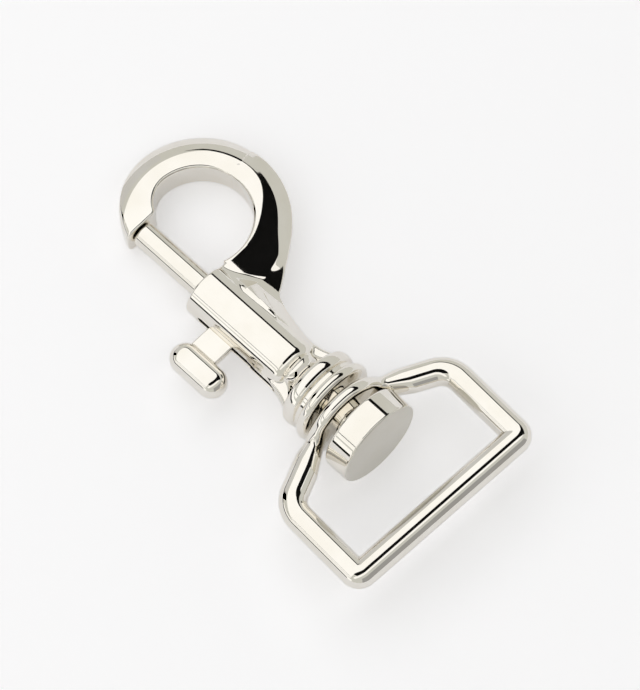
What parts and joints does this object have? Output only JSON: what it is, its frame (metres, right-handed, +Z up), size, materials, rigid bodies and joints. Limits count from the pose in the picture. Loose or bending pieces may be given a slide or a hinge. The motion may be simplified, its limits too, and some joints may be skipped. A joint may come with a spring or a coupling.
{
  "type": "swivel spring clip",
  "caption": "Swivel spring clip in bright plated metal: a hook closed by a sprung sliding bolt with a thumb tab, turning on a flat strap eye.",
  "frame": {"origin": "middle of the clip's footprint, at the height of the table it lies on", "axes": "+X from the strap eye towards the hook's nose, +Y towards the thumb tab's side, +Z up from the table; the swivel axis dips towards the nose because the clip lies on its collar and its nose"},
  "size_m": [0.067, 0.0362, 0.0136],
  "materials": {
    "bright_cast": "mirror bright nickel plating on a zinc casting",
    "bright_stud": "mirror bright nickel plating, satin on the flat end",
    "bright_turned": "mirror bright nickel plating",
    "spring_wire": "drawn spring wire"
  },
  "bodies": {
    "hook": {"hook_body": "bright_cast", "swivel_stud": "bright_stud", "bolt_spring": "spring_wire"},
    "bolt": {"bolt": "bright_turned", "thumb_tab": "bright_turned"},
    "eye": {"strap_eye": "bright_cast"}
  },
  "joints": [
    {"name": "swivel", "type": "hinge", "parent": "hook", "child": "eye", "pos_m": [-0.01274, 0.00081, 0.00658], "axis": [0.9954, 0, -0.0962], "continuous": true},
    {"name": "bolt_slide", "type": "slide", "parent": "hook", "child": "bolt", "axis": [-0.9954, 0, 0.0962], "range_m": [0, 0.008], "stiffness_N_per_m": 150, "springref_m": -0.005, "deforming": ["bolt_spring"]}
  ]
}
